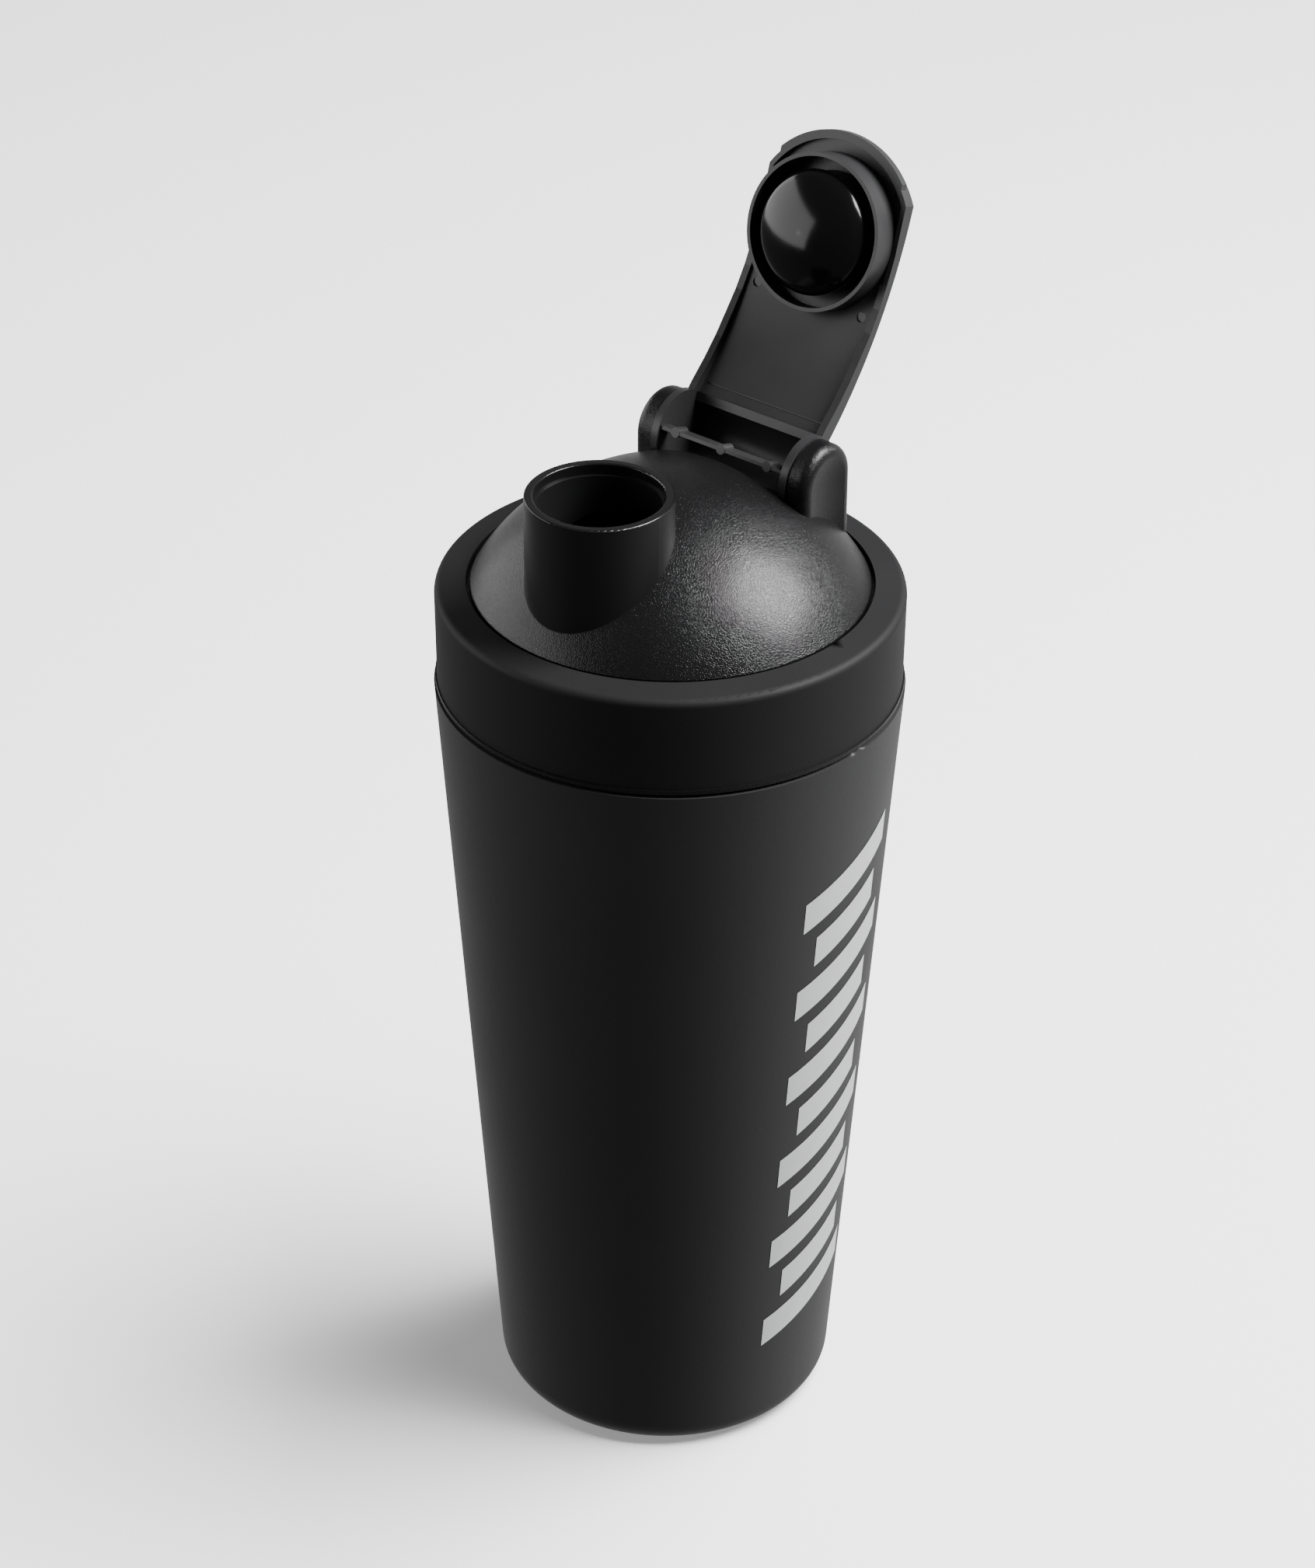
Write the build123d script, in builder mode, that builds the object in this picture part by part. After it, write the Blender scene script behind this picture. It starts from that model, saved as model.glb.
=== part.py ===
from build123d import *
import math
import os

# Protein shaker: a double-walled steel cup, a screw lid with an off-centre spout,
# and a flip cap on a moulded hinge. Millimetres, +Z up. The origin is the middle of
# the ring that the cup stands on. The spout is towards -Y and the hinge towards +Y.

# ---- driving sizes -------------------------------------------------------------
lid_radius = 45.0            # outside of the soft sleeve round the lid
cup_height = 164.2           # standing ring to the top of the shoulder
base_radius = 33.8           # cup wall carried down to the floor
base_rounding = 6.0
shoulder_rounding = 5.0
sheet = 0.7                  # steel of the outer shell
liner_sheet = 0.6            # steel of the liner
vacuum_gap = 2.6             # between the two walls

neck_height = 15.6           # shoulder to the drinking edge of the steel
thread_lead = 6.0            # rise in one turn
thread_turns = 1.25
thread_depth = 1.4
thread_foot = 2.4            # width of a thread at its root
thread_crest = 1.2           # width at its top
thread_clearance = 0.4       # between a crest and the wall that faces it

sleeve_height = 18.8
sleeve_wall = 2.6
skirt_wall = 2.2
dome_wall = 2.2
dome_rise = 22.0             # seam to the top of the dome
seam_inset = 6.84            # outside of the sleeve to the seam of the dome

spout_radius = 14.0
spout_bore = 12.25
spout_throat = 11.75         # below the polished band of the bore
spout_band = 2.3             # depth of that band
spout_rise = 4.9             # rim above the top of the dome
spout_margin = 2.9           # seam of the dome to the spout's side
spout_edge = 0.35            # rounding of the rim's two edges

hinge_inset = 16.5           # seam of the dome to the hinge axis
hinge_drop = 3.55            # hinge axis below the top of the dome
barrel_radius = 7.9
barrel_half = 16.15          # half the width of barrel and strap
trunnion_radius = 3.0
trunnion_length = 2.5
pivot_clearance = 0.06
side_clearance = 0.3         # strap to each post
post_thickness = 4.2
post_half_width = 7.5

open_angle = 108.0           # closed to fully open
strap_thickness = 1.1
crown_height = 7.0           # top of the closed cap above the spout's rim
flange_wall = 1.5
tip_radius = 18.6            # round the spout's axis
lip_radius = 19.3                        # thumb lip
rim_wall = 1.0
collar_bore = 14.35          # ring of the cap that goes round the spout
collar_wall = 0.75
plug_radius = 12.0           # bead that seals in the bore
plug_nose_radius = 10.8

gasket_height = 1.8
grid_hole_radius = 3.0

# ---- heights and radii that follow ---------------------------------------------
skirt_bottom = cup_height + 0.7
sleeve_bottom = skirt_bottom + 0.85
sleeve_top = sleeve_bottom + sleeve_height
seam_z = sleeve_top + 0.72
seam_radius = lid_radius - seam_inset
dome_top = seam_z + dome_rise
dome_radius = (seam_radius**2 + dome_rise**2) / (2 * dome_rise)
dome_centre = dome_top - dome_radius

shell_top_radius = lid_radius + 0.35
skirt_outer = lid_radius - sleeve_wall
skirt_inner = skirt_outer - skirt_wall
neck_radius = skirt_inner - thread_clearance - thread_depth
neck_top = cup_height + neck_height
lid_shoulder = sleeve_top - 1.2          # plane that the sleeve's top rests on
lid_ceiling = neck_top + gasket_height   # the gasket sits against it
liner_neck_outer = neck_radius - sheet - 0.1
mouth_radius = liner_neck_outer - liner_sheet
seal_ring_outer = mouth_radius - 0.7
seal_ring_inner = seal_ring_outer - 1.8
seal_ring_bottom = lid_ceiling - 7.0
step_radius = seam_radius + 0.8

spout_y = -(seam_radius - spout_margin - spout_radius)
spout_rim = dome_top + spout_rise
hinge_y = seam_radius - hinge_inset
hinge_z = dome_top - hinge_drop
post_inner = barrel_half + side_clearance
post_outer = post_inner + post_thickness
trough_radius = barrel_radius + 0.5


def wall_radius(z):
    """Outside of the cup's straight tapered wall at height z."""
    return base_radius + (shell_top_radius - base_radius) * z / cup_height


os.makedirs("parts", exist_ok=True)


# ---- threads ---------------------------------------------------------------------
# Each is a ridge of trapezoid section along a helix. Its flanks run straight on into
# the wall that carries it, by the depth of the root. The thread in the skirt lies half
# a turn's rise away from the thread on the neck.
thread_root = 0.35
flank = (thread_foot - thread_crest) / 2 / thread_depth
root_half = thread_foot / 2 + flank * thread_root
neck_thread_start = cup_height + 4.6
skirt_thread_start = neck_thread_start - thread_lead / 2 + 0.9

with BuildPart() as neck_thread:
    with BuildLine() as neck_helix:
        Helix(
            pitch=thread_lead,
            height=thread_lead * thread_turns,
            radius=neck_radius,
            center=(0, 0, neck_thread_start),
        )
    with BuildSketch(Plane(neck_helix.line @ 0, x_dir=(1, 0, 0), z_dir=neck_helix.line % 0)):
        with BuildLine():
            Polyline(
                (-thread_root, root_half),
                (thread_depth, thread_crest / 2),
                (thread_depth, -thread_crest / 2),
                (-thread_root, -root_half),
                close=True,
            )
        make_face()
    sweep(path=neck_helix.line, is_frenet=True)

with BuildPart() as skirt_thread:
    with BuildLine() as skirt_helix:
        Helix(
            pitch=thread_lead,
            height=thread_lead * thread_turns,
            radius=skirt_inner,
            center=(0, 0, skirt_thread_start),
        )
    with BuildSketch(Plane(skirt_helix.line @ 0, x_dir=(1, 0, 0), z_dir=skirt_helix.line % 0)):
        with BuildLine():
            Polyline(
                (thread_root, root_half),
                (-thread_depth, thread_crest / 2),
                (-thread_depth, -thread_crest / 2),
                (thread_root, -root_half),
                close=True,
            )
        make_face()
    sweep(path=skirt_helix.line, is_frenet=True)

# ---- cup: outer shell ----------------------------------------------------------
# One drawn steel shell: tapered wall, rounded foot, rounded shoulder and a neck with
# the thread on it. The middle of its foot is open and closed by the base plate.
foot_opening = base_radius - base_rounding - 2.0
lip_sheet = liner_sheet

with BuildPart() as outer_shell:
    with BuildSketch(Plane.XZ):
        with BuildLine():
            Polyline(
                (0, 0),
                (base_radius, 0),
                (shell_top_radius, cup_height),
                (neck_radius, cup_height),
                (neck_radius, neck_top - lip_sheet),
                (0, neck_top - lip_sheet),
                close=True,
            )
        make_face()
        outline = vertices()
        foot_corner = outline.sort_by_distance((base_radius, 0))[0]
        shoulder_corner = outline.sort_by_distance((shell_top_radius, cup_height))[0]
        neck_corner = outline.sort_by_distance((neck_radius, cup_height))[0]
        fillet(foot_corner, radius=base_rounding)
        fillet(shoulder_corner, radius=shoulder_rounding)
        fillet(neck_corner, radius=1.0)
    revolve(axis=Axis.Z)
    with BuildSketch(Plane.XZ):
        with BuildLine():
            Polyline(
                (0, sheet),
                (base_radius - sheet, sheet),
                (shell_top_radius - sheet, cup_height - sheet),
                (neck_radius - sheet, cup_height - sheet),
                (neck_radius - sheet, neck_top),
                (0, neck_top),
                close=True,
            )
        make_face()
        outline = vertices()
        foot_corner = outline.sort_by_distance((base_radius - sheet, sheet))[0]
        shoulder_corner = outline.sort_by_distance((shell_top_radius - sheet, cup_height - sheet))[0]
        neck_corner = outline.sort_by_distance((neck_radius - sheet, cup_height - sheet))[0]
        fillet(foot_corner, radius=base_rounding - sheet)
        fillet(shoulder_corner, radius=shoulder_rounding - sheet)
        fillet(neck_corner, radius=1.0 + sheet)
    revolve(axis=Axis.Z, mode=Mode.SUBTRACT)
    with BuildSketch(Plane.XY.offset(-1)):
        Circle(foot_opening)
    extrude(amount=1 + 2 * sheet, mode=Mode.SUBTRACT)
    add(neck_thread.part)
outer_shell.part.label = "outer_shell"
export_step(outer_shell.part, "parts/outer_shell.step")

# ---- cup: inner liner ----------------------------------------------------------
# The vessel that holds the drink. Its rolled lip closes the gap between the walls
# and is the edge that the gasket seals on.
liner_floor = 6.0
liner_offset = sheet + vacuum_gap
liner_shoulder = cup_height - liner_offset - 2.0
liner_rounding = 9.0

with BuildPart() as liner_form:
    with BuildSketch(Plane.XZ):
        with BuildLine():
            Polyline(
                (0, liner_floor),
                (wall_radius(liner_floor) - liner_offset, liner_floor),
                (wall_radius(liner_shoulder) - liner_offset, liner_shoulder),
                (liner_neck_outer, liner_shoulder),
                (liner_neck_outer, neck_top),
                (0, neck_top),
                close=True,
            )
        make_face()
        outline = vertices()
        liner_foot = outline.sort_by_distance((wall_radius(liner_floor) - liner_offset, liner_floor))[0]
        liner_corner = outline.sort_by_distance((wall_radius(liner_shoulder) - liner_offset, liner_shoulder))[0]
        fillet(liner_foot, radius=liner_rounding)
        fillet(liner_corner, radius=2.5)
    revolve(axis=Axis.Z)
    with BuildSketch(Plane.XY.offset(neck_top - lip_sheet)):
        Circle(neck_radius)
    extrude(amount=lip_sheet)
    with BuildSketch(Plane.XZ):
        with BuildLine():
            Polyline(
                (0, liner_floor + liner_sheet),
                (wall_radius(liner_floor) - liner_offset - liner_sheet, liner_floor + liner_sheet),
                (wall_radius(liner_shoulder) - liner_offset - liner_sheet, liner_shoulder - liner_sheet),
                (mouth_radius, liner_shoulder - liner_sheet),
                (mouth_radius, neck_top + 1),
                (0, neck_top + 1),
                close=True,
            )
        make_face()
        outline = vertices()
        inner_foot = outline.sort_by_distance(
            (wall_radius(liner_floor) - liner_offset - liner_sheet, liner_floor + liner_sheet)
        )[0]
        inner_corner = outline.sort_by_distance(
            (wall_radius(liner_shoulder) - liner_offset - liner_sheet, liner_shoulder - liner_sheet)
        )[0]
        fillet(inner_foot, radius=liner_rounding - liner_sheet)
        fillet(inner_corner, radius=2.5 - liner_sheet)
    revolve(axis=Axis.Z, mode=Mode.SUBTRACT)

# It is made of a drawn wall and a pressed base that is welded to it above the foot's
# rounding.
liner_joint = Plane.XY.offset(liner_floor + liner_rounding + 1)

with BuildPart() as inner_liner:
    add(liner_form.part)
    split(bisect_by=liner_joint, keep=Keep.TOP)
inner_liner.part.label = "inner_liner"
export_step(inner_liner.part, "parts/inner_liner.step")

with BuildPart() as liner_base:
    add(liner_form.part)
    split(bisect_by=liner_joint, keep=Keep.BOTTOM)
liner_base.part.label = "liner_base"
export_step(liner_base.part, "parts/liner_base.step")

# ---- cup: base plate and vacuum seal --------------------------------------------
# The plate is welded over the opening in the foot, with its middle pressed up a step.
# The seal is the small button over the hole that the air was drawn through.
plate_radius = base_radius - base_rounding - 0.3
panel_radius = foot_opening - 5.0
panel_step = 1.5
seal_radius = 4.5
seal_height = 1.2

with BuildPart() as base_plate:
    with BuildSketch(Plane.XZ):
        with BuildLine():
            Polyline(
                (0, sheet + panel_step),
                (panel_radius, sheet + panel_step),
                (panel_radius + panel_step, sheet),
                (plate_radius, sheet),
                (plate_radius, 2 * sheet),
                (panel_radius + panel_step, 2 * sheet),
                (panel_radius, 2 * sheet + panel_step),
                (0, 2 * sheet + panel_step),
                close=True,
            )
        make_face()
    revolve(axis=Axis.Z)
base_plate.part.label = "base_plate"
export_step(base_plate.part, "parts/base_plate.step")

with BuildPart() as vacuum_seal:
    with BuildSketch(Plane.XY.offset(sheet + panel_step - seal_height)):
        Circle(seal_radius)
    extrude(amount=seal_height)
    fillet(vacuum_seal.edges().sort_by(Axis.Z)[0], radius=0.5)
vacuum_seal.part.label = "vacuum_seal"
export_step(vacuum_seal.part, "parts/vacuum_seal.step")

# ---- lid: gasket ---------------------------------------------------------------
with BuildPart() as lid_gasket:
    with BuildSketch(Plane.XY.offset(neck_top)):
        Circle(skirt_inner - 0.3)
        Circle(seal_ring_outer + 0.2, mode=Mode.SUBTRACT)
    extrude(amount=gasket_height)
lid_gasket.part.label = "lid_gasket"
export_step(lid_gasket.part, "parts/lid_gasket.step")

# ---- lid: space inside the dome -------------------------------------------------
# Taken out of the moulding below. A trough wall is left standing in it, because the
# hinge barrel dips under the surface of the dome.
hinge_plane = Plane(origin=(0, hinge_y, hinge_z), x_dir=(0, 1, 0), z_dir=(1, 0, 0))

with BuildPart() as dome_space:
    with BuildSketch(Plane.XY.offset(seal_ring_bottom - 1)):
        Circle(seal_ring_inner)
    extrude(amount=dome_top - seal_ring_bottom)
    with Locations((0, 0, dome_centre)):
        Sphere(dome_radius - dome_wall, mode=Mode.INTERSECT)
    with BuildSketch(hinge_plane):
        Circle(trough_radius + dome_wall)
    extrude(amount=post_inner + 2.0, both=True, mode=Mode.SUBTRACT)

# ---- lid: hinge posts --------------------------------------------------------------
# Two arched cheeks with rounded outer rims and softly dished outer faces, joined to
# the body below.
post_root = -(hinge_z - lid_ceiling) / 2
post_rounding = 2.0
dish_radius = post_half_width - post_rounding - 0.25
dish_depth = 0.8
dish_bend = (dish_radius**2 + dish_depth**2) / (2 * dish_depth)

with BuildPart() as hinge_posts:
    for side in (1, -1):
        with BuildSketch(hinge_plane.offset(side * post_inner)):
            Circle(post_half_width)
            with Locations((0, post_root)):
                Rectangle(2 * post_half_width, hinge_z - lid_ceiling)
        extrude(amount=side * post_thickness)
    outer_faces = hinge_posts.faces().filter_by(Axis.X).filter_by(
        lambda face: abs(abs(face.center().X) - post_outer) < 0.01
    )
    fillet(outer_faces.edges().filter_by(lambda edge: edge.center().Z > lid_ceiling + 1), radius=post_rounding)
    # the dish is cut by a column with a ball end, level with the hinge axis
    for side in (1, -1):
        column_x = side * (post_outer + dish_bend - dish_depth)
        with BuildSketch(Plane(origin=(column_x, hinge_y, hinge_z), x_dir=(-side, 0, 0), z_dir=(0, side, 0))):
            with BuildLine():
                Polyline((0, dish_bend), (0, 3 * post_root), (dish_bend, 3 * post_root), (dish_bend, 0))
                RadiusArc((dish_bend, 0), (0, dish_bend), -dish_bend)
            make_face()
        revolve(axis=Axis((column_x, hinge_y, 0), (0, 0, 1)), mode=Mode.SUBTRACT)

# ---- lid: body ------------------------------------------------------------------
# One moulding: dome, spout, the two hinge posts, the shoulder that carries the sleeve,
# the skirt with its thread, and the ring that reaches down inside the neck.
with BuildPart() as lid_body:
    with BuildSketch(Plane.XZ):
        with BuildLine():
            Polyline(
                (0, lid_ceiling),
                (skirt_inner, lid_ceiling),
                (skirt_inner, skirt_bottom),
                (lid_radius + 0.1, skirt_bottom),
                (lid_radius + 0.1, sleeve_bottom),
                (skirt_outer, sleeve_bottom),
                (skirt_outer, lid_shoulder),
                (step_radius, lid_shoulder),
                (step_radius, seam_z - 1.2),
                (seam_radius, seam_z - 1.2),
                (seam_radius, seam_z),
            )
            RadiusArc((seam_radius, seam_z), (0, dome_top), -dome_radius)
            Line((0, dome_top), (0, lid_ceiling))
        make_face()
    revolve(axis=Axis.Z)
    # ring inside the neck
    with BuildSketch(Plane.XY.offset(seal_ring_bottom)):
        Circle(seal_ring_outer)
    extrude(amount=lid_ceiling - seal_ring_bottom + 1)
    # spout
    with BuildSketch(Plane.XY.offset(lid_ceiling)):
        with Locations((0, spout_y)):
            Circle(spout_radius)
    extrude(amount=spout_rim - lid_ceiling)
    add(hinge_posts.part)
    # space under the dome, then the trough that the barrel turns in
    add(dome_space.part, mode=Mode.SUBTRACT)
    with BuildSketch(hinge_plane):
        Circle(trough_radius)
    extrude(amount=post_inner, both=True, mode=Mode.SUBTRACT)
    with BuildSketch(hinge_plane):
        Circle(trunnion_radius + pivot_clearance)
    extrude(amount=post_inner + trunnion_length + side_clearance, both=True, mode=Mode.SUBTRACT)
    # bore of the spout, wider at the rim where the plug seals
    with BuildSketch(Plane.XY.offset(spout_rim - spout_band)):
        with Locations((0, spout_y)):
            Circle(spout_bore)
    extrude(amount=spout_band, mode=Mode.SUBTRACT)
    with BuildSketch(Plane.XY.offset(lid_ceiling)):
        with Locations((0, spout_y)):
            Circle(spout_throat)
    extrude(amount=spout_rim - lid_ceiling, mode=Mode.SUBTRACT)
    rim_edges = lid_body.edges().filter_by(GeomType.CIRCLE).filter_by(
        lambda edge: abs(edge.center().Z - spout_rim) < 0.01
    )
    fillet(rim_edges.sort_by(SortBy.RADIUS)[-1], radius=spout_edge)
    fillet(rim_edges.sort_by(SortBy.RADIUS)[0], radius=spout_edge)
    add(skirt_thread.part)
lid_body.part.label = "lid_body"
export_step(lid_body.part, "parts/lid_body.step")

# ---- lid: soft sleeve -------------------------------------------------------------
# Grip moulded round the skirt, with its upper edge turned in to the seam of the dome.
with BuildPart() as lid_sleeve:
    with BuildSketch(Plane.XZ):
        with BuildLine():
            Polyline(
                (skirt_outer, sleeve_bottom),
                (lid_radius - 0.2, sleeve_bottom),
                (lid_radius, sleeve_top),
                (step_radius, seam_z + 0.15),
                (step_radius, lid_shoulder),
                (skirt_outer, lid_shoulder),
                close=True,
            )
        make_face()
        outline = vertices()
        top_corner = outline.sort_by_distance((lid_radius, sleeve_top))[0]
        low_corner = outline.sort_by_distance((lid_radius - 0.2, sleeve_bottom))[0]
        seam_corner = outline.sort_by_distance((step_radius, seam_z + 0.15))[0]
        fillet(top_corner, radius=1.5)
        fillet(low_corner, radius=0.4)
        fillet(seam_corner, radius=0.4)
    revolve(axis=Axis.Z)
lid_sleeve.part.label = "lid_sleeve"
export_step(lid_sleeve.part, "parts/lid_sleeve.step")

# ---- mixing grid -------------------------------------------------------------------
# A perforated disc whose rim is pushed up into the ring of the lid.
grid_rim_outer = seal_ring_inner - 0.15
grid_plate = 1.5
grid_flange = 1.2
grid_rim_height = 4.0
hole_rings = [(0, 1), (9.0, 6), (17.5, 12), (26.0, 18)]

with BuildPart() as mixing_grid:
    with BuildSketch(Plane.XY.offset(seal_ring_bottom - grid_flange)):
        Circle(seal_ring_outer - 0.2)
    extrude(amount=grid_flange)
    with BuildSketch(Plane.XY.offset(seal_ring_bottom)):
        Circle(grid_rim_outer)
    extrude(amount=grid_rim_height)
    with BuildSketch(Plane.XY.offset(seal_ring_bottom - grid_flange + grid_plate)):
        Circle(grid_rim_outer - 1.3)
    extrude(amount=grid_rim_height + grid_flange, mode=Mode.SUBTRACT)
    with BuildSketch(Plane.XY.offset(seal_ring_bottom - grid_flange)):
        for ring_radius, count in hole_rings:
            with PolarLocations(ring_radius, count):
                Circle(grid_hole_radius)
    extrude(amount=grid_plate, mode=Mode.SUBTRACT)
mixing_grid.part.label = "mixing_grid"
export_step(mixing_grid.part, "parts/mixing_grid.step")

# ---- flip cap ----------------------------------------------------------------------
# Drawn as it lies closed, then turned back about the hinge by the open angle. On the
# side plane x runs from the hinge to the tip and y is up. On the flat planes x is
# across the cap and y runs from the hinge to the tip.
hinge_point = Vector(0, hinge_y, hinge_z)
hinge_axis = Axis(hinge_point, (1, 0, 0))
side_view = Plane(origin=hinge_point, x_dir=(0, -1, 0), z_dir=(-1, 0, 0))


def cap_level(height):
    """Flat plane across the closed cap, at a height above the hinge axis."""
    return Plane(origin=hinge_point + Vector(0, 0, height), x_dir=(-1, 0, 0), z_dir=(0, 0, 1))


reach = hinge_y - spout_y                      # hinge axis to the spout's axis
rim_level = spout_rim - hinge_z
crown = rim_level + crown_height
crown_end = reach + 9.25                       # where the top becomes level
root_angle = math.radians(31)                  # where the top leaves the barrel
root_x = barrel_radius * math.cos(root_angle)
root_y = barrel_radius * math.sin(root_angle)
strap_radius = ((crown_end - root_x) ** 2 + (crown - root_y) ** 2) / (2 * (crown - root_y))
floor_radius = strap_radius - strap_thickness
arc_centre_y = crown - strap_radius
tip_end = reach + lip_radius
rim_foot = rim_level + 4.3                     # under-edge of the wall round the tip


def arc_point(radius, x):
    """Point of an arc about the strap's centre, at a distance from the hinge."""
    return (x, arc_centre_y + math.sqrt(radius**2 - (crown_end - x) ** 2))


floor_start = 6.3
rim_start = crown_end - 17.0
flange_end = rim_start + 1.5
flange_end_level = rim_foot - 0.5

core_radius = barrel_radius - 1.7
mouth_level = 2.4                              # upper edge of the barrel's open mouth
core_rib_place = 0.9                           # in front of the hinge axis
core_rib_level = -7.3                          # its lower edge
core_rib_height = 3.0
core_rib_width = 0.7
boss_radius = 1.0
boss_spacing = 11.0
lip_width = 28.6
lip_drop = 8.5
lip_thickness = 1.6
collar_foot = rim_level - 0.8
seat_level = rim_level + 0.6
groove_place = 9.3
groove_size = 0.3
ejector_radius = 1.0
ejector_depth = 0.2
ejector_marks = [(12.4, 29.6), (13.0, 53.0)]


# region above the middle of the strap's skin, for trimming what hangs under it
with BuildPart() as above_strap:
    with BuildSketch(side_view):
        with BuildLine():
            middle_radius = strap_radius - strap_thickness / 2
            middle_crown = (crown_end, crown - strap_thickness / 2)
            RadiusArc(arc_point(middle_radius, floor_start), middle_crown, middle_radius)
            Polyline(
                middle_crown,
                (tip_end + 5, crown - strap_thickness / 2),
                (tip_end + 5, crown + 20),
                (floor_start, crown + 20),
                arc_point(middle_radius, floor_start),
            )
        make_face()
    extrude(amount=barrel_half + 10, both=True)

# what stands on the strap's floor over the spout: the ring that goes round the
# outside of the spout, and the seat of the plug
with BuildPart() as spout_fittings:
    with BuildSketch(cap_level(collar_foot)):
        with Locations((0, reach)):
            Circle(collar_bore + collar_wall)
            Circle(collar_bore, mode=Mode.SUBTRACT)
    extrude(amount=crown - collar_foot)
    with BuildSketch(cap_level(seat_level)):
        with Locations((0, reach)):
            Circle(plug_radius - 0.4)
    extrude(amount=crown - seat_level)
    add(above_strap.part, mode=Mode.SUBTRACT)

# ---- spout plug ----------------------------------------------------------------------
# Polished elastomer plug bonded to its seat: a bead that seals in the bore and a
# domed nose.
nose_level = rim_level - spout_band
nose_rise = 2.9
nose_radius = (plug_nose_radius**2 + nose_rise**2) / (2 * nose_rise)

with BuildPart() as spout_plug:
    with BuildSketch(side_view):
        with BuildLine():
            Polyline(
                (reach, nose_level - nose_rise),
                (reach, seat_level),
                (reach + plug_radius - 0.4, seat_level),
                (reach + plug_radius, rim_level - 0.1),
                (reach + plug_radius, rim_level - 0.8),
                (reach + plug_nose_radius, nose_level),
            )
            RadiusArc((reach + plug_nose_radius, nose_level), (reach, nose_level - nose_rise), nose_radius)
        make_face()
    revolve(axis=Axis((0, spout_y, 0), (0, 0, 1)))
open_plug = spout_plug.part.rotate(hinge_axis, -open_angle)
open_plug.label = "spout_plug"
export_step(open_plug, "parts/spout_plug.step")

# ---- flip cap: moulding ----------------------------------------------------------------
# wall round the tip, running out along both sides
with BuildPart() as tip_wall:
    with BuildSketch(side_view):
        with BuildLine():
            Polyline(
                arc_point(strap_radius - 0.5, rim_start),
                (rim_start, flange_end_level - 0.2),
                (flange_end, flange_end_level),
                (rim_start + 7.0, rim_foot + 0.1),
                (crown_end, rim_foot),
                (tip_end, rim_foot),
                (tip_end, crown - 0.5),
                (crown_end, crown - 0.5),
                close=True,
            )
        make_face()
    extrude(amount=barrel_half, both=True)
    with BuildSketch(cap_level(-2)):
        with Locations((0, reach)):
            Circle(tip_radius - rim_wall)
        with Locations((0, reach - 15)):
            Rectangle(2 * (barrel_half - rim_wall), 30)
        with Locations((0, reach)):
            Rectangle(2 * (barrel_half - rim_wall), 4 * tip_radius, mode=Mode.INTERSECT)
    extrude(amount=crown + 4, mode=Mode.SUBTRACT)

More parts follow.
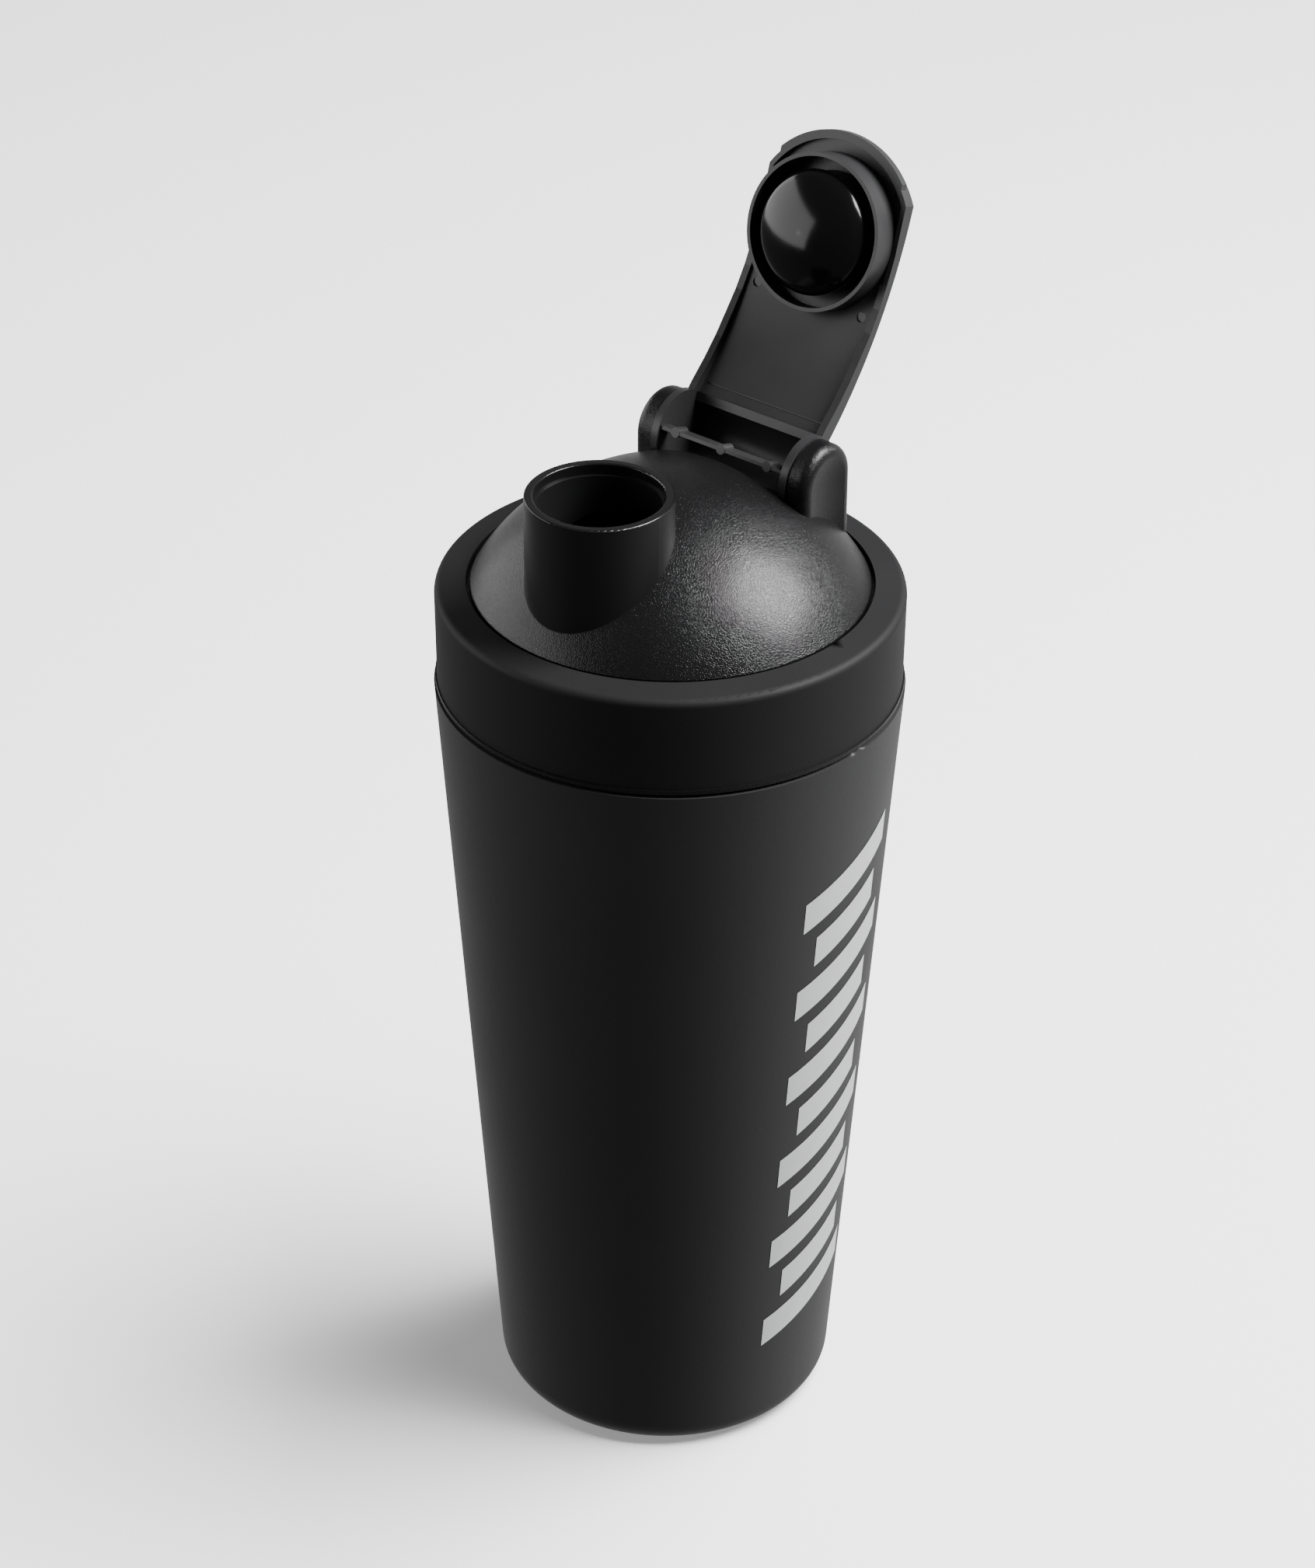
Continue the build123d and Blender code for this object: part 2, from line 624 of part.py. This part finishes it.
with BuildPart() as flip_cap:
    # strap: an even skin between two arcs, level at the tip
    with BuildSketch(side_view):
        with BuildLine():
            RadiusArc(arc_point(strap_radius, floor_start), (crown_end, crown), strap_radius)
            Polyline(
                (crown_end, crown),
                (tip_end, crown),
                (tip_end, crown - strap_thickness),
                (crown_end, crown - strap_thickness),
            )
            RadiusArc((crown_end, crown - strap_thickness), arc_point(floor_radius, floor_start), -floor_radius)
            Line(arc_point(floor_radius, floor_start), arc_point(strap_radius, floor_start))
        make_face()
    extrude(amount=barrel_half, both=True)
    # side flanges, deep at the barrel and running out along the strap
    for side in (1, -1):
        with BuildSketch(side_view.offset(side * (barrel_half - flange_wall))):
            with BuildLine():
                Polyline(
                    arc_point(middle_radius, floor_start),
                    (7.0, 1.0),
                    (9.0, 1.9),
                    (13.5, 4.5),
                    (18.2, 6.8),
                    (22.8, 8.6),
                    (27.4, 10.3),
                    (32.0, 11.5),
                    (flange_end, flange_end_level),
                    arc_point(middle_radius, flange_end),
                    arc_point(middle_radius, 27.0),
                    arc_point(middle_radius, 20.0),
                    arc_point(middle_radius, 13.0),
                    close=True,
                )
            make_face()
        extrude(amount=side * flange_wall)
    add(tip_wall.part)
    # plan of the tip: a round about the spout, cut off by the strap's two sides
    with BuildSketch(cap_level(-20)):
        with Locations((0, reach)):
            Circle(tip_radius)
        with Locations((0, reach / 2)):
            Rectangle(2 * barrel_half, reach)
        with Locations((0, reach / 2)):
            Rectangle(2 * barrel_half, 4 * reach, mode=Mode.INTERSECT)
    extrude(amount=60, mode=Mode.INTERSECT)
    # thumb lip: the tip's under-edge stands out over the middle of its round
    lip_plane = cap_level(rim_foot)
    with BuildSketch(lip_plane):
        with Locations((0, reach)):
            Circle(lip_radius)
            Circle(tip_radius - 1.0, mode=Mode.SUBTRACT)
        with Locations((0, reach + lip_radius)):
            Rectangle(lip_width, 2 * lip_drop, mode=Mode.INTERSECT)
    extrude(amount=lip_thickness)
    # barrel with a core taken out from below, leaving its end walls
    with BuildSketch(side_view):
        Circle(barrel_radius)
    extrude(amount=barrel_half, both=True)
    with BuildSketch(side_view):
        Circle(core_radius)
        with Locations((-core_radius, mouth_level)):
            Rectangle(core_radius + 2 * barrel_radius, 2 * barrel_radius, align=(Align.MIN, Align.MAX))
    extrude(amount=barrel_half - flange_wall, both=True, mode=Mode.SUBTRACT)
    # rail across the barrel's mouth, with three round bosses on it
    with BuildSketch(side_view):
        with Locations((core_rib_place, core_rib_level)):
            Rectangle(core_rib_width, core_rib_height, align=(Align.CENTER, Align.MIN))
    extrude(amount=barrel_half - flange_wall / 2, both=True)
    with BuildSketch(cap_level(core_rib_level - 0.1)):
        for place in (-boss_spacing, 0, boss_spacing):
            with Locations((place, core_rib_place)):
                Circle(boss_radius)
    extrude(amount=core_rib_height)
    # trunnions, turning in the blind holes of the posts
    for side in (1, -1):
        with BuildSketch(side_view.offset(side * (barrel_half - 0.5))):
            Circle(trunnion_radius)
        extrude(amount=side * (trunnion_length + 0.5))
    # ring that goes round the outside of the spout
    add(spout_fittings.part)
    # fine groove across the floor of the strap
    with BuildSketch(side_view):
        with Locations(arc_point(floor_radius, groove_place)):
            Rectangle(groove_size, 2 * groove_size)
    extrude(amount=barrel_half - flange_wall - 0.6, both=True, mode=Mode.SUBTRACT)
    # shallow round marks that ejector pins leave on the floor
    for across, along in ejector_marks:
        mark_level = arc_point(floor_radius, along)[1]
        with BuildSketch(cap_level(mark_level - 2)):
            with Locations((across, along), (-across, along)):
                Circle(ejector_radius)
        extrude(amount=2 + ejector_depth, mode=Mode.SUBTRACT)
open_cap = flip_cap.part.rotate(hinge_axis, -open_angle)
open_cap.label = "flip_cap"
export_step(open_cap, "parts/flip_cap.step")
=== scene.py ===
# %% [markdown]
# A shaker bottle, finished by hand
# ---------------------------------
# The bottle is already built as a fixed frame: a steel cup with a black coat, a screw
# lid with a spout, and a flip cap that stands open. This lesson gives the pieces the
# finish their maker gave them: powder coat, spark-eroded plastic, soft-touch rubber,
# satin and polished mouldings, bare steel. It then adds what is printed on the cup,
# and lights the bottle as a catalogue would.

# %% Load the frame
import math

import bmesh
import bpy
from mathutils import Matrix, Vector


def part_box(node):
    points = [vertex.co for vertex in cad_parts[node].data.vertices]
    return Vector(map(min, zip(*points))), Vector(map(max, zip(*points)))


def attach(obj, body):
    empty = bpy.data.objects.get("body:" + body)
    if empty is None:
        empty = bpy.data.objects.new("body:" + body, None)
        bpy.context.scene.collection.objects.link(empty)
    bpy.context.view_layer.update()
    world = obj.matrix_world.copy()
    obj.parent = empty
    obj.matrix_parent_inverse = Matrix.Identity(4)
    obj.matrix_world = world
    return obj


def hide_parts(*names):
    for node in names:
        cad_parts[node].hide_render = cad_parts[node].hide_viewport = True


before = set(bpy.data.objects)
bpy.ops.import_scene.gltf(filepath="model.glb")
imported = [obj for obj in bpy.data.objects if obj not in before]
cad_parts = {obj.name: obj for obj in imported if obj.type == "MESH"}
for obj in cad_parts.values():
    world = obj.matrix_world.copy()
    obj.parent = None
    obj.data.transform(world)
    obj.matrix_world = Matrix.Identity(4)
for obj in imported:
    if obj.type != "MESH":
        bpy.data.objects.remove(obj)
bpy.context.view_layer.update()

MM = 0.001
print("pieces in the frame:", sorted(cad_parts))

# %% [markdown]
# Places come from the frame. The spout's axis and radius are what most of the masks
# below are measured from, so they are worked out once, from the points of the lid that
# lie on the spout's rim.

# %% Measure the frame
rim_depth = 0.6 * MM
rim_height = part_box("lid_body")[1].z
sleeve_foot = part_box("lid_sleeve")[0].z
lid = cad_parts["lid_body"]
lid_points = [lid.matrix_world @ v.co for v in lid.data.vertices]
rim_points = [p for p in lid_points if p.z > rim_height - rim_depth]
rim_x = [p.x for p in rim_points]
rim_y = [p.y for p in rim_points]
spout_radius = (max(rim_x) - min(rim_x)) / 2
spout_x = (max(rim_x) + min(rim_x)) / 2
spout_y = (max(rim_y) + min(rim_y)) / 2
print("spout's axis at", round(spout_x / MM, 2), round(spout_y / MM, 2))
print("spout's radius", round(spout_radius / MM, 2))

# %% [markdown]
# Colours are written as the hex values a designer would quote, which are in sRGB. The
# shader wants linear light, so one function turns one into the other.


# %% Colour and node helpers
def linear(hex_colour):
    """An sRGB hex colour as linear red, green, blue and alpha."""
    channels = [int(hex_colour[i:i + 2], 16) / 255 for i in (1, 3, 5)]
    straight = [c / 12.92 if c <= 0.04045 else ((c + 0.055) / 1.055) ** 2.4 for c in channels]
    return straight + [1.0]


def add_node(material, kind, inputs=None, **settings):
    """Adds a node, gives it its settings, then sets or links its inputs."""
    node = material.node_tree.nodes.new(kind)
    for name, value in settings.items():
        setattr(node, name, value)
    for name, value in (inputs or {}).items():
        if isinstance(value, bpy.types.NodeSocket):
            material.node_tree.links.new(value, node.inputs[name])
        else:
            node.inputs[name].default_value = value
    return node


def start_material(name, colour, roughness, ior=1.5, metallic=0.0):
    """A new material with its Principled shader and the Object coordinates."""
    material = bpy.data.materials.new(name)
    material.use_nodes = True
    shader = material.node_tree.nodes["Principled BSDF"]
    shader.inputs["Base Color"].default_value = linear(colour)
    shader.inputs["Roughness"].default_value = roughness
    shader.inputs["IOR"].default_value = ior
    shader.inputs["Metallic"].default_value = metallic
    place = add_node(material, "ShaderNodeTexCoord").outputs["Object"]
    return material, shader, place


def link(material, output, socket):
    """Joins two sockets of one material."""
    material.node_tree.links.new(output, socket)


def grain(material, place, size, detail=2.0):
    """Noise whose bumps are about the given size across, in metres."""
    noise = add_node(material, "ShaderNodeTexNoise", {
        "Vector": place, "Scale": 1 / size, "Detail": detail, "Roughness": 0.5})
    return noise.outputs["Fac"]


def bump(material, height, depth, normal=None):
    """A bump of the given depth in metres, laid over an earlier one if there is one."""
    inputs = {"Height": height, "Distance": depth, "Strength": 1.0}
    if normal is not None:
        inputs["Normal"] = normal
    return add_node(material, "ShaderNodeBump", inputs).outputs["Normal"]


def spread(material, value, low, high, low_to=0.0, high_to=1.0):
    """Maps a value from one range to another, held at both ends."""
    node = add_node(material, "ShaderNodeMapRange", {
        "Value": value, "From Min": low, "From Max": high, "To Min": low_to, "To Max": high_to})
    return node.outputs["Result"]


def sums(material, operation, first, second):
    """One arithmetic step between two values."""
    return add_node(material, "ShaderNodeMath", {0: first, 1: second}, operation=operation).outputs[0]


def blend_colours(material, factor, first, second):
    """Mixes two colours by a factor."""
    node = add_node(material, "ShaderNodeMix", data_type="RGBA")
    for socket, value in ((0, factor), (6, first), (7, second)):
        if isinstance(value, bpy.types.NodeSocket):
            link(material, value, node.inputs[socket])
        else:
            node.inputs[socket].default_value = value
    return node.outputs[2]


def finish_node(node_name, material):
    """Puts a material on a piece of the frame, in each of its slots."""
    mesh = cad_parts[node_name].data
    if not mesh.materials:
        mesh.materials.append(material)
    for index in range(len(mesh.materials)):
        mesh.materials[index] = material
    print(node_name, "wears", material.name)


# %% [markdown]
# **Seams.** A turned or drawn surface has no seam, but the mesh of one starts and ends
# along a line, where its points lie double and the light breaks. Three pieces are
# smooth enough to show it: the cup, the sleeve and the plug. Each gets a copy whose
# double points are merged, shaded smooth except over real edges, which stands for the
# piece of the frame in the same place. The cup and the sleeve are merged along the
# seam only, where y is nought: merged everywhere, the long thin faces beside the
# shoulder and the thread would smear the light into bands and teeth. The plug is
# merged everywhere, which also closes the point at its middle.


# %% Copies without seams
same_place = 0.001 * MM
sharp_edge = math.radians(28)


def seamless(node_name, new_name, material, body, along_seam_only=True):
    """A copy of a piece with its double points merged, shown in its place."""
    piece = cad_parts[node_name]
    mesh = piece.data.copy()
    mesh.name = new_name
    shape = bmesh.new()
    shape.from_mesh(mesh)
    points = [v for v in shape.verts if not along_seam_only or abs(v.co.y) < same_place]
    bmesh.ops.remove_doubles(shape, verts=points, dist=same_place)
    shape.to_mesh(mesh)
    shape.free()
    mesh.shade_smooth()
    mesh.set_sharp_from_angle(angle=sharp_edge)
    mesh.materials.clear()
    mesh.materials.append(material)
    copy = bpy.data.objects.new(new_name, mesh)
    bpy.context.scene.collection.objects.link(copy)
    copy.matrix_world = piece.matrix_world.copy()
    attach(copy, body)
    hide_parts(node_name)
    print(new_name, "has", len(mesh.vertices), "points after merging")


# %% [markdown]
# **Powder coat.** The cup is steel with a black polyester powder baked on to it. The
# powder melts into a skin with a faint orange peel, ripples a millimetre or two wide,
# and a finer tooth that makes it matt. It could be one rough number, but then it would
# look like paper: the peel is what breaks the edge of each reflection. Handling
# polishes the coat a little, so the roughness drifts slowly round the cup.


# %% Powder coat
def powder_coat():
    """Matt black polyester: wide soft reflections, no colour of its own."""
    material, shader, place = start_material("matt_black_powder_coat", "#2E2E2F", 0.5)
    shader.inputs["Specular IOR Level"].default_value = 0.32
    peel = grain(material, place, 1.6 * MM)
    tooth = grain(material, place, 0.35 * MM, detail=1.0)
    handled = grain(material, place, 45 * MM)
    shine = spread(material, handled, 0.35, 0.65, 0.46, 0.54)
    shine = sums(material, "ADD", shine, spread(material, tooth, 0.3, 0.7, -0.02, 0.02))
    link(material, shine, shader.inputs["Roughness"])
    tint = blend_colours(material, handled, linear("#2C2C2D"), linear("#313132"))
    link(material, tint, shader.inputs["Base Color"])
    normal = bump(material, peel, 0.02 * MM)
    link(material, bump(material, tooth, 0.006 * MM, normal), shader.inputs["Normal"])
    return material


coat = powder_coat()
finish_node("outer_shell", coat)
seamless("outer_shell", "coated_shell", coat, "cup")
finish_node("base_plate", coat)

# %% [markdown]
# **Spark-eroded plastic.** The lid is black polypropylene from a mould whose dome was
# textured by spark erosion: tiny craters, about a fifth of a millimetre, all over. The
# spout was turned smooth in the same mould, and its rim and the first two millimetres
# of its bore were polished, because the cap seals there. The foot of the skirt is
# polished too, where it shows under the sleeve. So one material has three finishes,
# chosen by the distance from the spout's axis and by height.


# %% Lid plastic
def lid_plastic():
    """Black polypropylene: eroded dome, smooth spout, polished rim and skirt."""
    band_depth = 2.3 * MM
    bore_inset = 1.2 * MM
    edge = 0.1 * MM
    crater_size = 0.26 * MM
    crater_depth = 0.032 * MM
    smooth_roughness = 0.4
    eroded_roughness = 0.26
    polished_roughness = 0.24
    material, shader, place = start_material("eroded_black_polypropylene", "#1C1C1D", 0.42, ior=1.49)
    shader.inputs["Specular IOR Level"].default_value = 0.36
    centred = add_node(material, "ShaderNodeMapping", {
        "Vector": place, "Location": (-spout_x, -spout_y, 0)}).outputs["Vector"]
    level = add_node(material, "ShaderNodeVectorMath", {
        0: centred, 1: (1, 1, 0)}, operation="MULTIPLY").outputs[0]
    reach = add_node(material, "ShaderNodeVectorMath", {0: level}, operation="LENGTH").outputs["Value"]
    height = add_node(material, "ShaderNodeSeparateXYZ", {"Vector": place}).outputs["Z"]
    beside = spread(material, reach, spout_radius + edge / 5, spout_radius + edge)
    in_bore = spread(material, reach, spout_radius - bore_inset, spout_radius - bore_inset - edge)
    by_rim = spread(material, height, rim_height - rim_depth, rim_height - rim_depth + edge)
    by_band = spread(material, height, rim_height - band_depth, rim_height - band_depth + edge)
    by_skirt = spread(material, height, sleeve_foot + edge, sleeve_foot)
    near_spout = sums(material, "SUBTRACT", 1.0, beside)
    polished = sums(material, "MAXIMUM", by_rim, sums(material, "MULTIPLY", in_bore, by_band))
    polished = sums(material, "MULTIPLY", polished, near_spout)
    polished = sums(material, "MAXIMUM", polished, by_skirt)
    craters = spread(material, grain(material, place, crater_size, detail=1.0), 0.4, 0.65)
    depth = sums(material, "MULTIPLY", craters, beside)
    shine = spread(material, beside, 0, 1, smooth_roughness, eroded_roughness)
    polish_mix = add_node(material, "ShaderNodeMix", {0: polished}, data_type="FLOAT")
    link(material, shine, polish_mix.inputs[2])
    polish_mix.inputs[3].default_value = polished_roughness
    link(material, polish_mix.outputs[0], shader.inputs["Roughness"])
    tint = blend_colours(material, grain(material, place, 20 * MM), linear("#101011"), linear("#151516"))
    link(material, tint, shader.inputs["Base Color"])
    link(material, bump(material, depth, crater_depth), shader.inputs["Normal"])
    return material


finish_node("lid_body", lid_plastic())


# %% [markdown]
# **Soft-touch rubber.** The sleeve round the lid is a thermoplastic elastomer moulded
# over the hard skirt. Its skin is matt, with a fine tooth and no sheen of its own. The
# gasket under the lid is silicone, a little shinier, which does brighten faintly where
# the eye grazes it. The button in the base is a cast resin, set by the same function.


# %% Sleeve, gasket and vacuum seal
def elastomer(name, dark, light, roughness, tooth_size, sheen):
    """A moulded rubber: matt, with a fine tooth and as much sheen as it is given."""
    material, shader, place = start_material(name, dark, roughness)
    cloudy = grain(material, place, 18 * MM)
    link(material, blend_colours(material, cloudy, linear(dark), linear(light)), shader.inputs["Base Color"])
    shine = spread(material, cloudy, 0.3, 0.7, roughness - 0.03, roughness + 0.03)
    link(material, shine, shader.inputs["Roughness"])
    shader.inputs["Specular IOR Level"].default_value = 0.2
    shader.inputs["Sheen Weight"].default_value = sheen
    shader.inputs["Sheen Roughness"].default_value = 0.5
    tooth = grain(material, place, tooth_size)
    link(material, bump(material, tooth, 0.02 * MM), shader.inputs["Normal"])
    return material


soft_touch = elastomer("soft_touch_elastomer", "#1A1A1B", "#1E1E1F", 0.62, 0.3 * MM, 0.0)
finish_node("lid_sleeve", soft_touch)
seamless("lid_sleeve", "grip_sleeve", soft_touch, "lid")
finish_node("lid_gasket", elastomer("silicone_rubber", "#2B2B2C", "#323233", 0.4, 0.5 * MM, 0.1))
finish_node("vacuum_seal", elastomer("cast_resin_button", "#151515", "#1C1C1C", 0.35, 0.8 * MM, 0.0))


# %% [markdown]
# **Satin and polished mouldings.** The cap is the same polypropylene with a satin
# finish, and its plug is a polished elastomer that shows the softboxes like a mirror.


# %% Cap, plug and grid
def satin_plastic(name, dark, light, roughness):
    """Satin polypropylene: even, with broad highlights and faint flow clouds."""
    material, shader, place = start_material(name, dark, roughness, ior=1.49)
    flow = grain(material, place, 14 * MM)
    link(material, blend_colours(material, flow, linear(dark), linear(light)), shader.inputs["Base Color"])
    shine = spread(material, flow, 0.3, 0.7, roughness - 0.03, roughness + 0.03)
    link(material, shine, shader.inputs["Roughness"])
    link(material, bump(material, grain(material, place, 0.25 * MM), 0.012 * MM), shader.inputs["Normal"])
    return material


def polished_plug():
    """Polished black elastomer: a sharp mirror over a black body."""
    material, shader, place = start_material("polished_black_elastomer", "#0B0B0C", 0.15, ior=1.52)
    shader.inputs["Specular IOR Level"].default_value = 0.36
    breath = grain(material, place, 9 * MM)
    link(material, spread(material, breath, 0.3, 0.7, 0.12, 0.18), shader.inputs["Roughness"])
    link(material, bump(material, grain(material, place, 5 * MM), 0.01 * MM), shader.inputs["Normal"])
    return material


finish_node("flip_cap", satin_plastic("satin_black_polypropylene", "#2B2B2C", "#303031", 0.36))
finish_node("mixing_grid", satin_plastic("grid_polypropylene", "#202021", "#28282A", 0.45))
plug_gloss = polished_plug()
finish_node("spout_plug", plug_gloss)
seamless("spout_plug", "polished_plug", plug_gloss, "cap", along_seam_only=False)


# %% [markdown]
# **Bare steel.** The wall inside the cup is drawn stainless steel, left as it came off
# the tool and then brushed round and round. The brushing runs round the axis, so the
# noise is stretched level: its two level coordinates are scaled down, and what is left
# of it is rings, one above the other. The liner's base keeps the frame's own plain
# material, because it lies out of sight.


# %% Steel liner
def drawn_steel():
    """Stainless steel with fine rings from brushing on a lathe."""
    material, shader, place = start_material("brushed_stainless_steel", "#C9C8C4", 0.3, metallic=1.0)
    rings = add_node(material, "ShaderNodeMapping", {"Vector": place, "Scale": (0.02, 0.02, 1.0)})
    lines = grain(material, rings.outputs["Vector"], 0.25 * MM, detail=3.0)
    link(material, spread(material, lines, 0.3, 0.7, 0.24, 0.38), shader.inputs["Roughness"])
    tint = blend_colours(material, lines, linear("#BDBCB8"), linear("#D2D1CD"))
    link(material, tint, shader.inputs["Base Color"])
    link(material, bump(material, lines, 0.004 * MM), shader.inputs["Normal"])
    return material


finish_node("inner_liner", drawn_steel())

# %% [markdown]
# **Printed bars.** One side of the cup carries a light print that reads upwards. Here
# it is a plain pattern: slanted bars in a column, long and short by turns. Ink has
# almost no thickness, but a copy of the surface that lay exactly on the coat would
# flicker, so the bars stand a twentieth of a millimetre proud. Each bar is a flat grid
# first, sheared to its slant, and then every point is wrapped round the cone.

# %% Printed bars
print_low = 26 * MM
print_high = 140 * MM
print_width = 26.0 * MM
print_azimuth = math.radians(93)
ink_height = 0.05 * MM
bar_count = 11
bar_gap = 0.34               # share of a bar's pitch that stays bare
short_bar = 0.72             # length of a short bar as a share of a long one
bar_columns = 24
bar_rows = 3
slant = 9.0 * MM
wall_bottom = 33.8 * MM
wall_top = 45.35 * MM
wall_height = 164.2 * MM


def wall_radius(height):
    """Outside of the cup's tapered wall at a height."""
    return wall_bottom + (wall_top - wall_bottom) * height / wall_height


def printed_bars():
    """A column of slanted bars, wrapped on to the wall."""
    shape = bmesh.new()
    pitch = (print_high - print_low) / bar_count
    for index in range(bar_count):
        bar = bmesh.ops.create_grid(shape, x_segments=bar_columns, y_segments=bar_rows, size=0.5)["verts"]
        width = print_width * (1.0 if index % 2 == 0 else short_bar)
        tall = pitch * (1 - bar_gap)
        for point in bar:
            across = point.co.x * width
            up = point.co.y * tall + (index + 0.5) * pitch + print_low
            up += across / print_width * slant
            radius = wall_radius(up) + ink_height
            angle = print_azimuth + across / radius
            point.co = Vector((math.sin(angle) * radius, -math.cos(angle) * radius, up))
    bmesh.ops.recalc_face_normals(shape, faces=shape.faces)
    mesh = bpy.data.meshes.new("side_bars")
    shape.to_mesh(mesh)
    shape.free()
    mesh.shade_smooth()
    bars = bpy.data.objects.new("side_bars", mesh)
    bpy.context.scene.collection.objects.link(bars)
    return bars


def screen_ink():
    """Pale grey screen ink: flat, a touch rougher than the coat, not quite even."""
    material, shader, place = start_material("pale_screen_ink", "#C9CACB", 0.5)
    cover = grain(material, place, 3 * MM)
    tint = blend_colours(material, cover, linear("#C4C5C6"), linear("#CFD0D1"))
    link(material, tint, shader.inputs["Base Color"])
    link(material, bump(material, grain(material, place, 0.4 * MM), 0.01 * MM), shader.inputs["Normal"])
    return material


side_bars = printed_bars()
side_bars.data.materials.append(screen_ink())
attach(side_bars, "cup")
print("printed bars:", len(side_bars.data.polygons), "faces")

# %% [markdown]
# **Floor.** A pale, plain surface far larger than the view, so that no edge shows.

# %% Floor
floor_half_width = 30.0
floor_glow = 0.28
floor_shape = bmesh.new()
bmesh.ops.create_grid(floor_shape, x_segments=1, y_segments=1, size=floor_half_width)
floor_mesh = bpy.data.meshes.new("floor")
floor_shape.to_mesh(floor_mesh)
floor_shape.free()
floor = bpy.data.objects.new("floor", floor_mesh)
bpy.context.scene.collection.objects.link(floor)
floor_paint, floor_shader, _ = start_material("pale_studio_floor", "#EFEFEF", 0.8)
floor_shader.inputs["Specular IOR Level"].default_value = 0.05
floor_shader.inputs["Emission Color"].default_value = linear("#FFFFFF")
floor_shader.inputs["Emission Strength"].default_value = floor_glow
floor_mesh.materials.append(floor_paint)
floor.visible_glossy = False
floor.visible_diffuse = False

# %% [markdown]
# **Light.** Black objects are lit by what they reflect. A large key softbox stands
# behind on the right and high up, which puts one broad highlight on the dome. A long
# panel on the left draws the light down the spout and the sleeve. Both are flagged off
# the table, which has a softbox of its own, higher up, so that it can be bright without
# flooding the black bottle. That one throws the soft shadow to the front left. The room
# is dim, so that black stays black, and the pale floor glows faintly by itself.


# %% Lights
def softbox(name, azimuth, elevation, distance, wide, tall, power, aim=Vector((0, 0, 0.16))):
    """A rectangular area light that looks at the bottle. Azimuth is from the front."""
    around, up = math.radians(azimuth), math.radians(elevation)
    way = Vector((math.sin(around) * math.cos(up), -math.cos(around) * math.cos(up), math.sin(up)))
    lamp = bpy.data.lights.new(name, "AREA")
    lamp.shape = "RECTANGLE"
    lamp.size = wide
    lamp.size_y = tall
    lamp.energy = power
    light = bpy.data.objects.new(name, lamp)
    bpy.context.scene.collection.objects.link(light)
    light.location = aim + way * distance
    light.rotation_euler = (-way).to_track_quat("-Z", "Y").to_euler()
    return light


def light_link(light, pieces, state):
    """Lets a light reach these pieces only (INCLUDE), or all but these (EXCLUDE)."""
    group = bpy.data.collections.new(light.name + "_receivers")
    for piece in pieces:
        group.objects.link(piece)
    for member in group.collection_objects:
        member.light_linking.link_state = state
    light.light_linking.receiver_collection = group


key = softbox("key_softbox", 127, 46, 1.3, 0.7, 0.7, 58)
light_link(key, [floor], "EXCLUDE")
left_panel = softbox("left_panel", -64, 14, 1.3, 2.3, 0.9, 18)
light_link(left_panel, [floor], "EXCLUDE")
table_key = softbox("table_key", 134, 61, 1.3, 0.95, 0.95, 98)
light_link(table_key, [floor], "INCLUDE")

# The room: dim overhead and in front, bright low behind, where the lit table is.
dim_room = 0.13
lit_table = 1.0
room = bpy.data.worlds.new("room_with_lit_table")
room.use_nodes = True
way = add_node(room, "ShaderNodeTexCoord").outputs["Generated"]
to_table = Vector((0, 0.75, -0.66)).normalized()
facing = add_node(room, "ShaderNodeVectorMath", {
    0: way, 1: to_table}, operation="DOT_PRODUCT").outputs["Value"]
background = room.node_tree.nodes["Background"]
background.inputs["Color"].default_value = linear("#F2F2F2")
link(room, spread(room, facing, 0.1, 0.95, dim_room, lit_table), background.inputs["Strength"])
bpy.context.scene.world = room

# %% [markdown]
# **Camera.** It stands in front and to the right, well above the bottle, with a long
# lens from three quarters of a metre to the side, so the lid looks larger than the foot.

# %% Camera
camera_side = 745.87 * MM
camera_height = 603.43 * MM
camera_azimuth = 0.67
camera_pan = math.radians(0.172)
camera_pitch = math.radians(31.893)
camera_roll = math.radians(0.371)
focal_length = 103.22        # in the camera's own millimetres
sensor_width = 36
lens_data = bpy.data.cameras.new("camera")
lens_data.sensor_fit = "AUTO"
lens_data.sensor_width = sensor_width
lens_data.lens = focal_length
camera = bpy.data.objects.new("camera", lens_data)
bpy.context.scene.collection.objects.link(camera)
camera_x = math.sin(camera_azimuth) * camera_side
camera_y = -math.cos(camera_azimuth) * camera_side
stand = Vector((camera_x, camera_y, camera_height))
turn = Matrix.Rotation(camera_azimuth + camera_pan, 4, "Z")
tip = Matrix.Rotation(math.pi / 2 - camera_pitch, 4, "X")
lean = Matrix.Rotation(camera_roll, 4, "Z")
camera.matrix_world = Matrix.Translation(stand) @ turn @ tip @ lean
bpy.context.scene.camera = camera
